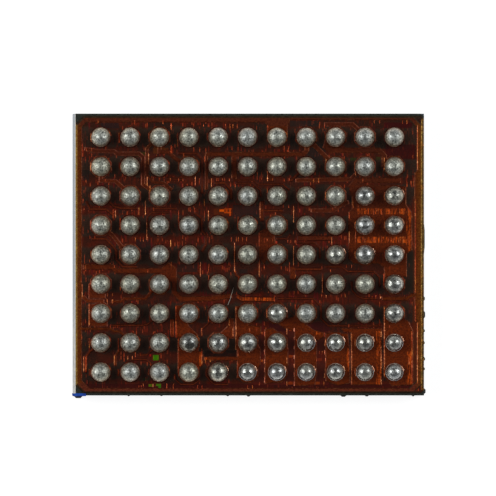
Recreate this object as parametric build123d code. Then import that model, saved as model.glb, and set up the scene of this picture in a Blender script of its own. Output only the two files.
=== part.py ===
from build123d import *
import os

# A bare wafer-level chip, ball side up: a silicon die with a coated back, two amber films
# with copper wiring between them, and a grid of solder balls on copper pads.
# The origin is the centre of the flat back, +Z points out of the ball side and +X runs
# along the long side. Sizes are in millimetres. Places on the face are given in ball
# columns (counted to +X) and ball rows (counted to -Y), so they follow the ball pitch.

# Ball grid
ball_pitch = 0.400
ball_columns = 11
ball_rows = 9
row_letters = "abcdefghjklmnp"

# Pads and solder balls. The solder wets a pad up to its rim and bulges out over it.
pad_diameter = 0.245
pad_rim = 0.002
ball_bulge = 0.0115
low_ball_bulge = 0.0045
LOW_BALLS = [(8, 8), (9, 8), (10, 8), (11, 8), (6, 9), (7, 9), (8, 9), (9, 9), (10, 9), (11, 9)]

# Face of the chip, from the outermost ball centres to the sawn edges
margin_left = 0.345
margin_right = 0.405
margin_top = 0.322
margin_bottom = 0.320

# Layers, from the back up
coating_thickness = 0.025
die_thickness = 0.350
circuit_thickness = 0.010
lower_film_thickness = 0.0075
copper_thickness = 0.007
film_cover = 0.010
pad_thickness = 0.0086

# Sawn edges
flank_run = 0.044
nick_length = 0.050
nick_width = 0.032
nick_depth = 0.090

# Films, the copper ring inside their edge, and the openings under the pads
lower_film_margins = {"left": 0.002, "right": 0.008, "top": 0.032, "bottom": 0.032}
upper_film_margins = {"left": 0.009, "right": 0.026, "top": 0.042, "bottom": 0.040}
film_corner = 0.105
ring_cover = 0.007
ring_widths = {"left": 0.070, "right": 0.064, "top": 0.038, "bottom": 0.052}
pad_overlap = 0.0175
film_overlap = 0.030
plug_width = 0.060

# Conductor widths
fine = 0.022
signal = 0.034
link = 0.040
power = 0.050
feeder = 0.062

# Copper with more area than this, in square millimetres, carries a supply. Copper with no
# more than this many times the square of a landing's width is a landing on its own.
supply_area = 0.150
lone_landing_ratio = 1.1

# Routes of the conductors, as (width, grid points)
ROUTES = {
    "west_to_b3": (signal, [(0.47, 1.40), (0.72, 1.46), (1.45, 1.48), (1.55, 1.56), (2.30, 1.56),
                            (2.44, 1.68), (2.44, 2.60), (2.80, 2.88)]),
    "a3_to_c3": (fine, [(2.80, 1.15), (2.57, 1.38), (2.57, 2.30), (2.78, 2.53), (3.15, 2.56), (3.40, 2.78)]),
    "a3_to_b4": (signal, [(3.00, 1.20), (3.00, 1.50), (3.30, 1.50), (3.50, 1.70), (3.80, 1.88)]),
    "b1_to_c2": (signal, [(1.00, 2.20), (1.00, 2.48), (1.50, 2.50), (1.75, 2.72), (1.90, 2.85)]),
    "north_link": (signal, [(3.62, 1.55), (4.28, 1.56), (4.45, 1.75), (4.45, 2.92)]),
    "row_a_feeder": (link, [(4.60, 1.58), (7.90, 1.58), (8.02, 1.45), (8.02, 1.20)]),
    "feeder_drop": (fine, [(4.60, 1.58), (4.60, 2.76)]),
    "feeder_tab": (power, [(5.54, 1.56), (5.54, 2.40)]),
    "a8_to_b9": (link, [(8.15, 1.15), (8.85, 1.85)]),
    "a9_to_b11": (power, [(8.74, 1.08), (8.66, 1.32), (8.82, 1.45), (10.48, 1.45), (10.66, 1.64),
                          (10.66, 1.95), (10.80, 2.00)]),
    "a9_to_a10": (signal, [(8.64, 0.56), (9.58, 0.56), (9.74, 0.70), (9.85, 0.85)]),
    "b8_link": (signal, [(7.40, 2.46), (7.50, 2.46), (7.75, 2.22), (7.90, 2.08)]),
    "b10_link": (signal, [(7.66, 2.47), (9.52, 2.43), (9.70, 2.25), (9.85, 2.12)]),
    "east_feeder": (power, [(9.50, 2.72), (9.72, 2.47), (11.20, 2.47)]),
    "pair_upper": (fine, [(5.48, 2.46), (6.20, 2.46), (6.35, 2.60), (7.20, 2.60), (7.42, 2.80)]),
    "pair_lower": (fine, [(5.60, 2.57), (6.15, 2.57), (6.44, 2.80), (6.44, 3.02)]),
    "c5_surround": (signal, [(4.86, 2.56), (5.22, 2.56), (5.44, 2.80), (5.44, 3.12)]),
    "b3_bar": (signal, [(3.22, 2.42), (3.84, 2.44)]),
    "c1_surround": (signal, [(0.50, 3.18), (0.62, 3.45), (1.18, 3.45), (1.44, 3.66), (1.44, 3.84)]),
    "c1_link": (signal, [(1.22, 3.14), (1.46, 3.36), (1.70, 3.42), (2.24, 3.42)]),
    "c3_bar": (signal, [(2.72, 3.43), (3.60, 3.43)]),
    "d3_surround": (fine, [(2.58, 4.08), (2.58, 3.72), (2.74, 3.56), (3.34, 3.56)]),
    "d4_to_e5": (signal, [(4.18, 3.57), (4.44, 3.76), (4.44, 4.18), (4.58, 4.36), (4.58, 4.66),
                          (4.44, 4.90)]),
    "d1_to_e2": (signal, [(1.20, 4.18), (1.42, 4.36), (1.70, 4.72), (1.85, 4.85)]),
    "e1_surround": (signal, [(0.68, 4.46), (1.18, 4.46), (1.52, 4.84), (1.52, 5.16), (1.74, 5.41),
                             (2.24, 5.41)]),
    "west_feeder": (power, [(0.42, 5.42), (1.38, 5.42), (1.54, 5.55), (3.50, 5.55), (3.50, 6.28),
                            (3.74, 6.52), (4.74, 6.50), (5.44, 6.41)]),
    "centre_feeder": (feeder, [(5.62, 6.40), (5.82, 6.52), (6.94, 6.53)]),
    "g_row_link": (fine, [(7.02, 6.50), (8.24, 6.50), (8.50, 6.76), (8.50, 7.18), (8.76, 7.43),
                          (10.58, 7.43)]),
    "d7_bar": (signal, [(6.52, 3.50), (7.22, 3.50)]),
    "d9_bar": (signal, [(8.18, 3.50), (8.92, 3.50), (9.20, 3.30), (9.42, 3.22)]),
    "e7_bar": (fine, [(6.98, 4.46), (7.36, 4.46), (7.46, 4.30)]),
    "e8_bar": (feeder, [(7.70, 4.44), (8.90, 4.44)]),
    "e8_surround": (fine, [(7.68, 4.60), (8.30, 4.60), (8.46, 4.78), (8.46, 5.12)]),
    "f8_bar": (signal, [(7.50, 5.50), (8.52, 5.50)]),
    "f10_surround": (fine, [(8.64, 5.42), (9.22, 5.42), (9.40, 5.57), (10.30, 5.57), (10.50, 5.78),
                            (10.50, 6.10)]),
    "ring_to_h2": (signal, [(0.24, 7.53), (1.32, 7.53), (1.46, 7.61), (1.64, 7.62), (1.88, 7.82)]),
    "j4_surround": (fine, [(3.52, 9.10), (3.56, 9.28), (3.72, 9.42), (4.16, 9.42), (4.36, 9.28)]),
    "g5_tail": (fine, [(4.82, 7.18), (4.66, 7.34), (4.44, 7.54), (4.44, 7.80)]),
    "f3_link": (fine, [(1.38, 6.60), (1.68, 6.60), (1.82, 6.50), (2.52, 6.50), (2.70, 6.30), (2.85, 6.12)]),
    "g3_link": (fine, [(1.36, 7.41), (2.40, 7.41), (2.62, 7.36), (2.85, 7.15)]),
    "h1_tail": (signal, [(0.84, 8.12), (0.62, 8.30), (0.47, 8.48), (0.47, 9.02)]),
    "h2_tail": (signal, [(1.86, 8.16), (1.64, 8.26), (1.50, 8.44), (1.50, 8.80)]),
    "h3_link": (fine, [(2.26, 8.42), (2.56, 8.42), (2.72, 8.28), (2.86, 8.14)]),
    "j3_link": (fine, [(2.04, 8.57), (2.56, 8.57), (2.72, 8.72), (2.86, 8.86)]),
    "h5_bar": (signal, [(4.54, 8.54), (5.80, 8.54)]),
    "j5_surround": (fine, [(4.59, 8.90), (4.59, 9.12), (4.72, 9.30), (4.88, 9.42), (5.34, 9.42)]),
    "g1_link": (signal, [(0.40, 6.44), (0.54, 6.58), (1.05, 6.58), (1.05, 6.80)]),
    "ring_to_g11": (power, [(10.58, 6.50), (11.42, 6.50), (11.60, 6.38), (11.80, 6.38)]),
    "g10_surround": (fine, [(9.55, 5.92), (9.56, 6.22), (9.74, 6.42), (9.94, 6.50), (10.42, 6.50)]),
    "f6_tail": (signal, [(5.54, 5.52), (5.62, 5.70), (5.85, 5.88)]),
    "e6_rail": (fine, [(5.56, 4.56), (5.56, 5.56)]),
    "f7_rail": (fine, [(6.42, 5.22), (6.42, 5.80)]),
    "f9_rail": (fine, [(8.56, 5.62), (8.56, 6.34)]),
}

# Outlines of the wide copper areas, in grid points
AREAS = {
    "ring_top": [(0.46, 0.36), (7.46, 0.36), (7.40, 0.49), (0.46, 0.49)],
    "ring_right": [(11.69, 2.22), (11.80, 2.10), (11.80, 7.34), (11.69, 7.26)],
    "supply_a7": [(6.54, 0.46), (7.42, 0.46), (7.36, 0.62), (7.36, 1.00), (6.68, 1.00), (6.68, 0.60)],
    "supply_b7": [(6.69, 2.05), (6.90, 2.05), (6.90, 2.50), (6.69, 2.50)],
    "supply_d7": [(6.42, 3.18), (6.56, 3.18), (6.56, 3.86), (6.42, 3.86)],
    "supply_e7": [(6.41, 4.24), (6.60, 4.14), (6.90, 4.30), (6.94, 4.74), (6.72, 4.88), (6.56, 5.30),
                  (6.41, 5.10)],
    "supply_f3": [(3.05, 5.50), (3.30, 5.30), (3.56, 5.48), (3.56, 5.86), (3.30, 5.92), (3.05, 5.80)],
    "supply_f8": [(7.44, 5.40), (7.64, 5.40), (7.64, 5.84), (7.44, 5.84)],
    "supply_east": [(9.48, 2.80), (9.62, 2.62), (11.38, 2.70), (11.38, 3.30), (11.58, 3.56), (11.58, 4.84),
                    (11.40, 4.96), (11.40, 5.74), (10.70, 5.74), (10.66, 5.42), (10.44, 5.28),
                    (9.62, 5.28), (9.46, 5.10), (9.46, 3.56), (9.58, 3.44), (9.58, 3.00)],
    "supply_g1": [(0.61, 6.70), (1.20, 6.70), (1.20, 7.42), (0.61, 7.42)],
    "supply_f1": [(0.61, 6.02), (1.14, 6.02), (1.14, 6.47), (0.61, 6.47)],
    "supply_g4": [(3.57, 6.76), (3.96, 6.76), (3.96, 7.42), (4.28, 7.74), (4.30, 8.30), (4.45, 8.34),
                  (4.45, 8.76), (4.24, 8.96), (3.64, 9.00), (3.64, 7.86), (3.57, 7.80)],
    "supply_h4": [(3.37, 7.20), (3.51, 7.20), (3.51, 7.82), (3.37, 7.82)],
    "supply_g6": [(5.61, 6.78), (6.05, 6.78), (6.00, 7.42), (6.44, 7.46), (6.44, 7.70), (6.20, 7.82),
                  (6.42, 8.22), (6.42, 8.76), (6.20, 9.10), (5.66, 9.18), (5.66, 8.26), (5.61, 8.20)],
    "supply_h5": [(5.12, 7.66), (5.38, 7.40), (5.38, 7.20), (5.52, 7.20), (5.52, 7.84), (5.30, 7.84)],
    "supply_h7": [(6.61, 7.56), (6.86, 7.52), (7.20, 7.80), (7.36, 8.20), (7.36, 8.74), (7.18, 9.30),
                  (6.61, 9.38)],
    "supply_h8": [(7.08, 7.36), (7.26, 7.24), (7.62, 7.12), (8.24, 7.58), (8.58, 7.68), (8.58, 7.80),
                  (8.34, 7.94), (8.34, 8.74), (8.28, 9.42), (7.62, 9.46), (7.62, 7.58), (7.28, 7.50)],
    "supply_h9": [(8.68, 7.70), (9.40, 7.70), (9.46, 8.30), (9.46, 9.36), (9.10, 9.44), (8.68, 9.30)],
    "supply_h10": [(9.22, 7.53), (10.56, 7.53), (10.56, 9.42), (9.54, 9.42), (9.54, 7.64), (9.30, 7.62)],
    "supply_h11": [(10.66, 6.80), (11.00, 6.80), (11.30, 7.18), (11.48, 7.30), (11.62, 7.62), (11.62, 9.42),
                   (10.92, 9.46), (10.66, 9.12)],
}

# Burrs of the back coating, as (grid place along the edge, length, reach)
FRONT_BURRS = [(0.22, 0.142, 0.040), (1.94, 0.040, 0.014), (3.06, 0.044, 0.012), (5.32, 0.044, 0.014),
               (6.03, 0.056, 0.018), (9.27, 0.090, 0.022), (10.07, 0.064, 0.016), (11.65, 0.044, 0.016)]
RIGHT_BURRS = [(4.45, 0.500, 0.014), (6.50, 0.070, 0.016), (7.05, 0.120, 0.020), (7.60, 0.050, 0.016),
               (8.01, 0.050, 0.014), (8.56, 0.060, 0.018), (8.90, 0.050, 0.016), (9.66, 0.090, 0.026)]
burr_taper = 0.45

# Small marks and residue on the face
MARKS = {"h3": (2.87, 8.51, 0.078), "j2": (2.69, 9.45, 0.052), "j3": (2.96, 9.45, 0.060)}
mark_thickness = 0.004
tape_length = 0.198
tape_seat = 0.028
tape_overhang_left = 0.050
tape_overhang_front = 0.010
tape_thickness = 0.012

# Derived places
coating_top = coating_thickness
die_top = coating_top + die_thickness
circuit_top = die_top + circuit_thickness
lower_film_top = circuit_top + lower_film_thickness
copper_top = lower_film_top + copper_thickness
film_top = copper_top + film_cover
pad_top = film_top + pad_thickness
opening_width = pad_diameter - 2 * pad_overlap
landing_width = opening_width + 2 * film_overlap

face_length = margin_left + (ball_columns - 1) * ball_pitch + margin_right
face_width = margin_top + (ball_rows - 1) * ball_pitch + margin_bottom
back_length = face_length + flank_run
face_left = flank_run - back_length / 2
face_right = back_length / 2
face_rear = face_width / 2
face_front = -face_width / 2
first_column = face_left + margin_left
first_row = face_rear - margin_top

SITES = [(column, row) for row in range(1, ball_rows + 1) for column in range(1, ball_columns + 1)]


def grid_point(column, row):
    """Place on the face of a point given in ball columns and rows."""
    return first_column + (column - 1) * ball_pitch, first_row - (row - 1) * ball_pitch


def at_site(shape, column, row, height=0.0):
    """Copy of a shape moved to a place in the ball grid."""
    x, y = grid_point(column, row)
    return Pos(x, y, height) * shape


def flat_outline(points):
    """Flat face with straight edges through the points given."""
    return make_face(Polyline(*points, close=True))


def cornered_face(insets, corner):
    """Face of the chip inset by its own distance at each edge, with its corners cut at 45 degrees."""
    left, right = face_left + insets["left"], face_right - insets["right"]
    front, rear = face_front + insets["bottom"], face_rear - insets["top"]
    return flat_outline([
        (left + corner, rear), (right - corner, rear), (right, rear - corner), (right, front + corner),
        (right - corner, front), (left + corner, front), (left, front + corner), (left, rear - corner),
    ])


def strip(width, route):
    """Flat face of one conductor along a route of grid points, mitred at its corners."""
    stops = [Vector(*grid_point(*stop)) for stop in route]
    headings = [(after - before).normalized() for before, after in zip(stops, stops[1:])]
    before_and_after = zip([headings[0]] + headings, headings + [headings[-1]])
    left, right = [], []
    for stop, (before, after) in zip(stops, before_and_after):
        across = Vector(-before.Y - after.Y, before.X + after.X)
        side = across * (width / 2 / (1 + before.dot(after)))
        left.append(stop + side)
        right.append(stop - side)
    return flat_outline(left + right[::-1])


def octagon(width):
    """Flat octagon of a given width across its flats, with flats facing X and Y."""
    return RegularPolygon(width / 2, 8, major_radius=False, rotation=22.5)


def layer(face, bottom, thickness):
    """Solid of one even layer over a flat face."""
    return extrude(Pos(0, 0, bottom) * face, thickness, dir=(0, 0, 1))


def ring_face():
    """Closed copper ring that runs just inside the edge of the upper film."""
    outer = {side: inset + ring_cover for side, inset in upper_film_margins.items()}
    inner = {side: inset + ring_widths[side] for side, inset in outer.items()}
    return cornered_face(outer, film_corner) - cornered_face(inner, film_corner)


def copper_faces():
    """Separate flat outlines of all the copper between the films."""
    shapes = [at_site(octagon(landing_width), *site) for site in SITES]
    shapes += [strip(width, route) for width, route in ROUTES.values()]
    shapes += [flat_outline([grid_point(*point) for point in outline]) for outline in AREAS.values()]
    return (Sketch() + shapes + ring_face()).faces()


def copper_pieces(faces):
    """Copper solids, each with a square plug down through the lower film at every ball it serves."""
    plug_height = circuit_top + (lower_film_thickness + copper_thickness / 2) / 2
    plug = Box(plug_width, plug_width, lower_film_thickness + copper_thickness / 2)
    plugs = [at_site(plug, column, row, plug_height) for column, row in SITES]
    pieces = Part() + [layer(face, lower_film_top, copper_thickness) for face in faces] + plugs
    return pieces.solids()


def burred_coating():
    """Back coating with the burrs that the saw left along its front and right edges."""
    outline = Rectangle(back_length, face_width)
    burrs = []
    for column, length, reach in FRONT_BURRS:
        x = grid_point(column, 1)[0]
        half, tip = length / 2, length / 2 * burr_taper
        burrs.append([(x - half, face_front), (x - tip, face_front - reach),
                      (x + tip, face_front - reach), (x + half, face_front)])
    for row, length, reach in RIGHT_BURRS:
        y = grid_point(1, row)[1]
        half, tip = length / 2, length / 2 * burr_taper
        burrs.append([(face_right, y - half), (face_right + reach, y - tip),
                      (face_right + reach, y + tip), (face_right, y + half)])
    return layer(outline + [flat_outline(burr) for burr in burrs], 0, coating_thickness)


def silicon_die():
    """Silicon block with a slanted left flank and a small chip off one top corner."""
    profile = flat_outline([(-back_length / 2, coating_top), (face_right, coating_top),
                            (face_right, die_top), (face_left, die_top)])
    upright = Plane.XZ * profile
    block = extrude(Pos(0, face_rear, 0) * upright, face_width, dir=(0, -1, 0))
    corner = flat_outline([(face_right - nick_length, face_rear), (face_right, face_rear),
                           (face_right, face_rear - nick_width)])
    return block - layer(corner, die_top - nick_depth, nick_depth)


def circuit_layer():
    """Oxide and wiring layer over the whole face, broken off where the die is chipped."""
    sheet = flat_outline([(face_left, face_rear), (face_right - nick_length, face_rear),
                          (face_right, face_rear - nick_width), (face_right, face_front),
                          (face_left, face_front)])
    return layer(sheet, die_top, circuit_thickness) - test_marks()


def test_marks():
    """Square test marks set into the circuit layer, flush with its top."""
    squares = [at_site(Rectangle(size, size), column, row) for column, row, size in MARKS.values()]
    return [layer(square, circuit_top - mark_thickness, mark_thickness) for square in squares]


def lower_film():
    """First film, with a square hole for each copper plug."""
    sheet = layer(cornered_face(lower_film_margins, film_corner), circuit_top, lower_film_thickness)
    hole = Box(plug_width, plug_width, lower_film_thickness)
    holes = [at_site(hole, column, row, circuit_top + lower_film_thickness / 2) for column, row in SITES]
    return sheet - holes


def upper_film(copper):
    """Second film, which lies round and over the copper and is open above each landing."""
    sheet = cornered_face(upper_film_margins, film_corner)
    openings = [at_site(octagon(opening_width), *site) for site in SITES]
    round_copper = layer(sheet - copper, lower_film_top, copper_thickness)
    over_copper = layer(sheet - openings, copper_top, film_cover)
    return round_copper + over_copper


def ball_pad():
    """Copper pad that fills a film opening and spreads over its rim."""
    fill_height = film_cover + pad_thickness / 2
    fill = layer(octagon(opening_width), copper_top, fill_height)
    return fill + layer(Circle(pad_diameter / 2), film_top, pad_thickness)


def solder_ball(bulge):
    """Solder ball with the flat where it is joined to its pad."""
    joint_radius = pad_diameter / 2 - pad_rim
    radius = joint_radius + bulge
    centre_height = pad_top + (radius ** 2 - joint_radius ** 2) ** 0.5
    ball = Pos(0, 0, centre_height) * Sphere(radius)
    return split(ball, Plane.XY.offset(pad_top), keep=Keep.TOP)


def tape_residue():
    """Sliver of dicing tape left along the front left corner of the face."""
    left, right = face_left - tape_overhang_left, face_left - tape_overhang_left + tape_length
    front, rear = face_front - tape_overhang_front, face_front + tape_seat
    sliver = flat_outline([(left + tape_overhang_front, front), (right - tape_overhang_front, front),
                           (right, face_front), (right - tape_overhang_front, rear), (left, rear)])
    return layer(sliver, circuit_top, tape_thickness)


def write(node, shapes):
    """Write one node as a group of its separate solids."""
    solids = [solid for shape in shapes for solid in shape.solids()]
    export_step(Compound(children=solids), f"parts/{node}.step")


def copper_nodes(pieces):
    """Copper solids sorted into the border ring, wide supply areas, conductors and lone landings."""
    ring = max(pieces, key=lambda piece: piece.bounding_box().diagonal)
    groups = {"border_ring": [ring], "supply_planes": [], "signal_traces": [], "lone_landings": []}
    for piece in pieces:
        area = piece.volume / copper_thickness
        if piece is ring:
            continue
        if area > supply_area:
            groups["supply_planes"].append(piece)
        elif area > lone_landing_ratio * landing_width ** 2:
            groups["signal_traces"].append(piece)
        else:
            groups["lone_landings"].append(piece)
    return groups


os.makedirs("parts", exist_ok=True)
copper = copper_faces()
write("back_coating", [burred_coating()])
write("silicon_die", [silicon_die()])
write("circuit_layer", [circuit_layer()])
write("test_marks", test_marks())
write("lower_film", [lower_film()])
write("upper_film", [upper_film(copper)])
for node, pieces in copper_nodes(copper_pieces(copper)).items():
    write(node, pieces)
for row in range(1, ball_rows + 1):
    letter = row_letters[row - 1]
    sites = [(column, row) for column in range(1, ball_columns + 1)]
    bulges = [low_ball_bulge if site in LOW_BALLS else ball_bulge for site in sites]
    write(f"pad_row_{letter}", [at_site(ball_pad(), *site) for site in sites])
    write(f"ball_row_{letter}", [at_site(solder_ball(size), *site) for size, site in zip(bulges, sites)])
write("tape_residue", [tape_residue()])
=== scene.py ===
import math

import bmesh
import bpy
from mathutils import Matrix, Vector


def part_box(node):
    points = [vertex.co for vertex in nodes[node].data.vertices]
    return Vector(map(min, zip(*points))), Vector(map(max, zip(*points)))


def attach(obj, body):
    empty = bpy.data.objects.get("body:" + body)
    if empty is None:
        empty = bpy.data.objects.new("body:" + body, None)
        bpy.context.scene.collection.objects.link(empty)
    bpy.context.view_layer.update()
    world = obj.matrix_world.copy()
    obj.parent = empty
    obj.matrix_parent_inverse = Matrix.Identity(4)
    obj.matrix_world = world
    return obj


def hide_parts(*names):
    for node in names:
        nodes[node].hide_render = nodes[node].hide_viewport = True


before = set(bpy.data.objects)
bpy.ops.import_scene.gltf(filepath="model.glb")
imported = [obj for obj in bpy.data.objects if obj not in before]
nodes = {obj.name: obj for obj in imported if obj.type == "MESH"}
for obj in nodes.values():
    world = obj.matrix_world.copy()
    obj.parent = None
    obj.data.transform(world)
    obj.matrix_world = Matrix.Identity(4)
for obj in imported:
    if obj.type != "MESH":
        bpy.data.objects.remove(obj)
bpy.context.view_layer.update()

# Lengths are in metres
MICRON = 1e-6
MILLIMETRE = 1e-3

# Heights and edges of the chip, read from the CAD nodes in model.glb
FACE_LOW, FACE_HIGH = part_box("circuit_layer")
LOWER_FILM_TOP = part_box("lower_film")[1].z
FILM_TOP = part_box("upper_film")[1].z
PAD_LOW, PAD_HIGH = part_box("pad_row_a")

# Ball grid
COLUMNS = 11
PAD_WIDTH = PAD_HIGH.y - PAD_LOW.y
PITCH = (PAD_HIGH.x - PAD_LOW.x - PAD_WIDTH) / (COLUMNS - 1)
COLUMN_1 = PAD_LOW.x + PAD_WIDTH / 2
ROW_1 = (PAD_LOW.y + PAD_HIGH.y) / 2
ROW_LETTERS = "abcdefghj"

# The film lies this much lower beside the copper than over it, and slopes down over this run
RELIEF = 5.2 * MICRON
SLOPE_RUN = 12 * MICRON
FIELD_TOP = FILM_TOP - RELIEF
LEFT_FILM_CORNER = 105 * MICRON
RIGHT_FILM_CORNER = 35 * MICRON
# Slopes this near to the sawn edges are the film's outer edges
EDGE_REACH = 60 * MICRON
# Ridges in the film lie this much below the top of what they stand on
RIDGE_SINK = 0.4 * MICRON


def grid(column, row):
    """Place on the face of a point given in ball columns and rows."""
    return COLUMN_1 + (column - 1) * PITCH, ROW_1 - (row - 1) * PITCH


# Modelling

def deselect():
    bpy.ops.object.select_all(action="DESELECT")


def only(piece):
    """Makes one piece the selected and active one."""
    deselect()
    piece.select_set(True)
    bpy.context.view_layer.objects.active = piece


def edit(piece):
    only(piece)
    bpy.ops.object.mode_set(mode="EDIT")
    bpy.ops.mesh.select_all(action="SELECT")


def leave_edit():
    bpy.ops.object.mode_set(mode="OBJECT")


def select_faces(piece, wanted):
    """In edit mode, selects the faces for which wanted(face) holds."""
    bpy.ops.mesh.select_mode(type="FACE")
    mesh = bmesh.from_edit_mesh(piece.data)
    for face in mesh.faces:
        face.select_set(wanted(face))
    bmesh.update_edit_mesh(piece.data)


def select_vertices(piece, wanted):
    """In edit mode, selects the vertices for which wanted(vertex) holds."""
    bpy.ops.mesh.select_all(action="DESELECT")
    bpy.ops.mesh.select_mode(type="VERT")
    mesh = bmesh.from_edit_mesh(piece.data)
    for vertex in mesh.verts:
        vertex.select_set(wanted(vertex))
    mesh.select_flush_mode()
    bmesh.update_edit_mesh(piece.data)


def apply_place(piece):
    only(piece)
    bpy.ops.object.transform_apply(location=True, rotation=True, scale=True)


def face_outwards(piece):
    """Joins points that lie together and turns all faces outwards."""
    edit(piece)
    bpy.ops.mesh.remove_doubles(threshold=0.05 * MICRON)
    bpy.ops.mesh.normals_make_consistent(inside=False)
    leave_edit()


def join(pieces, name):
    """One piece from several."""
    deselect()
    for piece in pieces:
        piece.select_set(True)
    bpy.context.view_layer.objects.active = pieces[0]
    if len(pieces) > 1:
        bpy.ops.object.join()
    pieces[0].name = name
    pieces[0].data.name = name
    return pieces[0]


def copy_of(piece, place, name):
    """Copy of a piece with its own mesh, moved by a vector."""
    only(piece)
    bpy.ops.object.duplicate(linked=False)
    copy = bpy.context.object
    copy.name = name
    copy.location = Vector(place)
    apply_place(copy)
    return copy


def paint(piece, *finishes):
    """Gives a piece its materials, one for each slot."""
    for finish in finishes:
        piece.data.materials.append(finish)


def hand_in(piece, slot, *replaced):
    """Puts a finished piece on the part's root body and hides the CAD nodes that it replaces."""
    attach(piece, "root")
    if replaced:
        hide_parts(*replaced)


def film_sheet(name, margins, top, bottom, shoulder_run, shoulder_drop):
    """Film with cut corners and a sloping shoulder round its top edge."""
    left, right = FACE_LOW.x + margins["left"], FACE_HIGH.x - margins["right"]
    front, rear = FACE_LOW.y + margins["bottom"], FACE_HIGH.y - margins["top"]
    middle = ((left + right) / 2, (front + rear) / 2, top)
    deselect()
    bpy.ops.mesh.primitive_plane_add(size=1, location=middle)
    sheet = bpy.context.object
    sheet.name = name
    sheet.scale = (right - left, rear - front, 1)
    apply_place(sheet)
    edit(sheet)
    for side, corner in ((1, RIGHT_FILM_CORNER), (-1, LEFT_FILM_CORNER)):
        select_vertices(sheet, lambda vertex: vertex.co.x * side > 0)
        bpy.ops.mesh.bevel(offset=corner, affect="VERTICES", offset_type="OFFSET")
    select_faces(sheet, lambda face: True)
    bpy.ops.mesh.inset(thickness=shoulder_run)
    select_vertices(sheet, lambda vertex: any(edge.is_boundary for edge in vertex.link_edges))
    bpy.ops.transform.translate(value=(0, 0, -shoulder_drop))
    down = bottom - top + shoulder_drop
    bpy.ops.mesh.extrude_region_move(TRANSFORM_OT_translate={"value": (0, 0, down)})
    bpy.ops.mesh.edge_face_add()
    leave_edit()
    face_outwards(sheet)
    return sheet


def copper_relief(node, name, top, run, drop, outset=0.0):
    """Plate with sloping sides that follows the outline of a CAD node's top faces."""
    plate = bpy.data.objects.new(name, nodes[node].data.copy())
    bpy.context.scene.collection.objects.link(plate)
    plate.data.materials.clear()
    edit(plate)
    bpy.ops.mesh.remove_doubles(threshold=0.2 * MICRON)
    below_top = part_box(node)[1].z - MICRON
    select_faces(plate, lambda face: face.normal.z < 0.9 or face.calc_center_median().z < below_top)
    bpy.ops.mesh.delete(type="FACE")
    bpy.ops.mesh.select_all(action="SELECT")
    bpy.ops.mesh.region_to_loop()
    bpy.ops.mesh.select_all(action="INVERT")
    bpy.ops.mesh.delete(type="EDGE")
    bpy.ops.mesh.select_all(action="SELECT")
    bpy.ops.mesh.delete(type="ONLY_FACE")
    leave_edit()
    only(plate)
    bpy.ops.object.convert(target="CURVE")
    plate = bpy.context.object
    plate.data.dimensions = "2D"
    plate.data.fill_mode = "BOTH"
    plate.data.offset = outset
    plate.data.bevel_depth = run
    plate.data.bevel_resolution = 0
    plate.scale.z = drop / run
    plate.location.z = top - drop
    bpy.ops.object.convert(target="MESH")
    plate = bpy.context.object
    apply_place(plate)
    face_outwards(plate)
    return plate


def mark_slopes(piece, outer_reach=None):
    """Sorts faces into slots: 0 flat, 1 inner slopes, outer edges 2 left, 3 right, 4 front or rear."""
    # Outer edges get slots by the side they face, for lit and shaded copies of the edge colour
    for face in piece.data.polygons:
        x, y, _ = face.center
        in_corner = abs(x) / FACE_HIGH.x + abs(y) / FACE_HIGH.y > 1.85
        if face.normal.z > 0.995 or face.normal.z < -0.5:
            face.material_index = 0
        elif not outer_reach:
            face.material_index = 1
        elif in_corner or abs(y) > FACE_HIGH.y - outer_reach:
            face.material_index = 4
        elif x < FACE_LOW.x + outer_reach:
            face.material_index = 2
        elif x > FACE_HIGH.x - outer_reach:
            face.material_index = 3
        else:
            face.material_index = 1


# Materials

FILM_IOR = 1.55
SETTINGS = {"roughness": "Roughness", "metal": "Metallic", "ior": "IOR", "gloss": "Specular IOR Level",
            "sheen": "Sheen Weight"}


def add(tree, kind, inputs=None, **settings):
    """New node whose inputs, by name or place, are linked to sockets or set to values."""
    node = tree.nodes.new(kind)
    for name, value in settings.items():
        setattr(node, name, value)
    for name, value in (inputs or {}).items():
        if isinstance(value, bpy.types.NodeSocket):
            tree.links.new(value, node.inputs[name])
        else:
            node.inputs[name].default_value = value
    return node


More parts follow.
